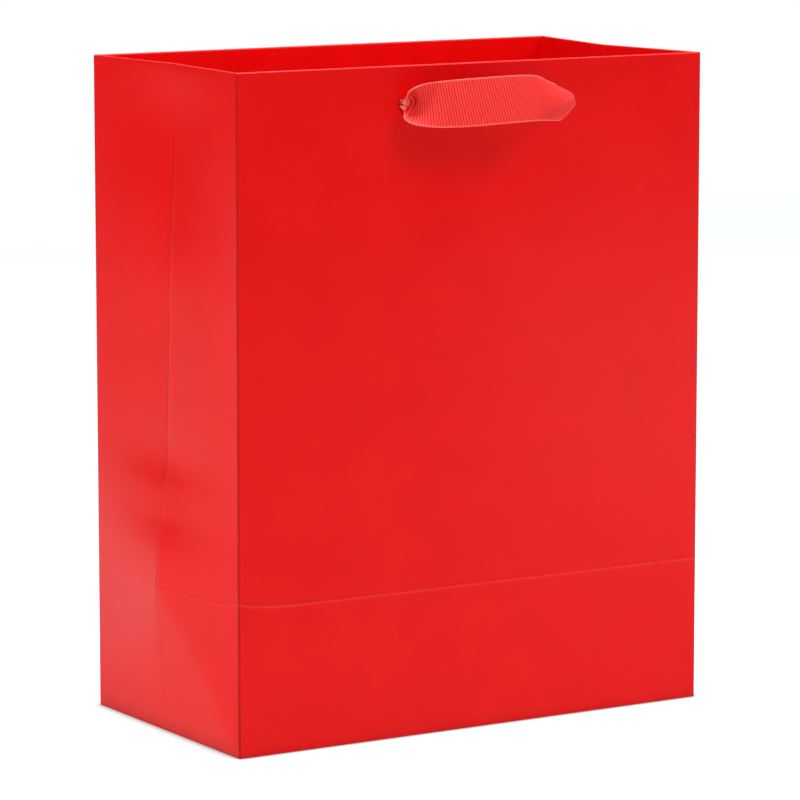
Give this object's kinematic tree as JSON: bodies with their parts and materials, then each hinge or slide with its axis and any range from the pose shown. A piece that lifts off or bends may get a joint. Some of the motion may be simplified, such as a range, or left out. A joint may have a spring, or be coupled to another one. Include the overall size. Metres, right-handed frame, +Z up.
{
  "type": "gift bag",
  "caption": "Upright gusseted paper gift bag with a folded rim, flat bottom and short ribbon loop handles; the empty bag folds flat.",
  "frame": {"origin": "middle of the footprint, on the surface the bag stands on", "axes": "+X to the right along the wide front, +Y to the back, +Z up; the front handle is on the -Y side"},
  "size_m": [0.198, 0.158, 0.244],
  "materials": {
    "shell_paper": "matte coated paper, dyed red on both faces",
    "top_card": "grey-white card strip inside the hem",
    "bottom_board": "plain pale board",
    "ribbon": "ribbed grosgrain ribbon, satin"
  },
  "bodies": {
    "back_wall": {"back_panel": "shell_paper", "back_hem": "shell_paper", "back_top_card": "top_card", "side_seam_flap": "shell_paper", "back_left_knot": "ribbon", "back_right_knot": "ribbon"},
    "left_gusset_back": {"left_gusset_back": "shell_paper", "left_hem_back": "shell_paper"},
    "left_gusset_front": {"left_gusset_front": "shell_paper", "left_hem_front": "shell_paper"},
    "right_gusset_back": {"right_gusset_back": "shell_paper", "right_hem_back": "shell_paper"},
    "right_gusset_front": {"right_gusset_front": "shell_paper", "right_hem_front": "shell_paper"},
    "front_wall": {"front_panel": "shell_paper", "front_hem": "shell_paper", "front_top_card": "top_card", "front_left_knot": "ribbon", "front_right_knot": "ribbon"},
    "front_foot": {"front_lower_panel": "shell_paper"},
    "bottom": {"bottom_front_flap": "shell_paper", "bottom_back_flap": "shell_paper", "bottom_left_flap": "shell_paper", "bottom_right_flap": "shell_paper", "bottom_board": "bottom_board"},
    "front_handle": {"front_handle_ribbon": "ribbon"},
    "back_handle": {"back_handle_ribbon": "ribbon"}
  },
  "joints": [
    {"name": "left_back_corner_fold", "type": "hinge", "parent": "back_wall", "child": "left_gusset_back", "pos_m": [-0.0985, 0.05235, 0.122], "axis": [0, 0, 1], "range_deg": [0, 82]},
    {"name": "left_centre_fold", "type": "hinge", "parent": "left_gusset_back", "child": "left_gusset_front", "pos_m": [-0.09905, 0, 0.122], "axis": [0, 0, 1], "range_deg": [-180, 0]},
    {"name": "left_front_corner_fold", "type": "hinge", "parent": "left_gusset_front", "child": "front_wall", "pos_m": [-0.0985, -0.05235, 0.122], "axis": [0, 0, 1], "range_deg": [0, 90]},
    {"name": "right_back_corner_fold", "type": "hinge", "parent": "back_wall", "child": "right_gusset_back", "pos_m": [0.0985, 0.05235, 0.122], "axis": [0, 0, 1], "range_deg": [-90, 0]},
    {"name": "right_centre_fold", "type": "hinge", "parent": "right_gusset_back", "child": "right_gusset_front", "pos_m": [0.09905, 0, 0.122], "axis": [0, 0, 1], "range_deg": [0, 180]},
    {"name": "front_fold_line", "type": "hinge", "parent": "front_wall", "child": "front_foot", "pos_m": [0, -0.05305, 0.053], "axis": [-1, 0, 0], "range_deg": [0, 180]},
    {"name": "bottom_front_edge_fold", "type": "hinge", "parent": "front_foot", "child": "bottom", "pos_m": [0, -0.0527, 0.0016], "axis": [1, 0, 0], "range_deg": [0, 90]},
    {"name": "front_handle_swing", "type": "hinge", "parent": "front_wall", "child": "front_handle", "pos_m": [0, -0.056, 0.23], "axis": [-1, 0, 0], "range_deg": [-72, 72]},
    {"name": "back_handle_swing", "type": "hinge", "parent": "back_wall", "child": "back_handle", "pos_m": [0, 0.056, 0.23], "axis": [1, 0, 0], "range_deg": [-72, 72]}
  ],
  "couplings": [
    {"joint": "left_centre_fold", "follows": "left_back_corner_fold", "ratio": -2},
    {"joint": "left_front_corner_fold", "follows": "left_back_corner_fold", "ratio": 1},
    {"joint": "right_back_corner_fold", "follows": "left_back_corner_fold", "ratio": -1},
    {"joint": "right_centre_fold", "follows": "left_back_corner_fold", "ratio": 2},
    {"joint": "front_fold_line", "follows": "left_back_corner_fold", "ratio": 2.0976},
    {"joint": "bottom_front_edge_fold", "follows": "left_back_corner_fold", "ratio": 1.0244}
  ]
}
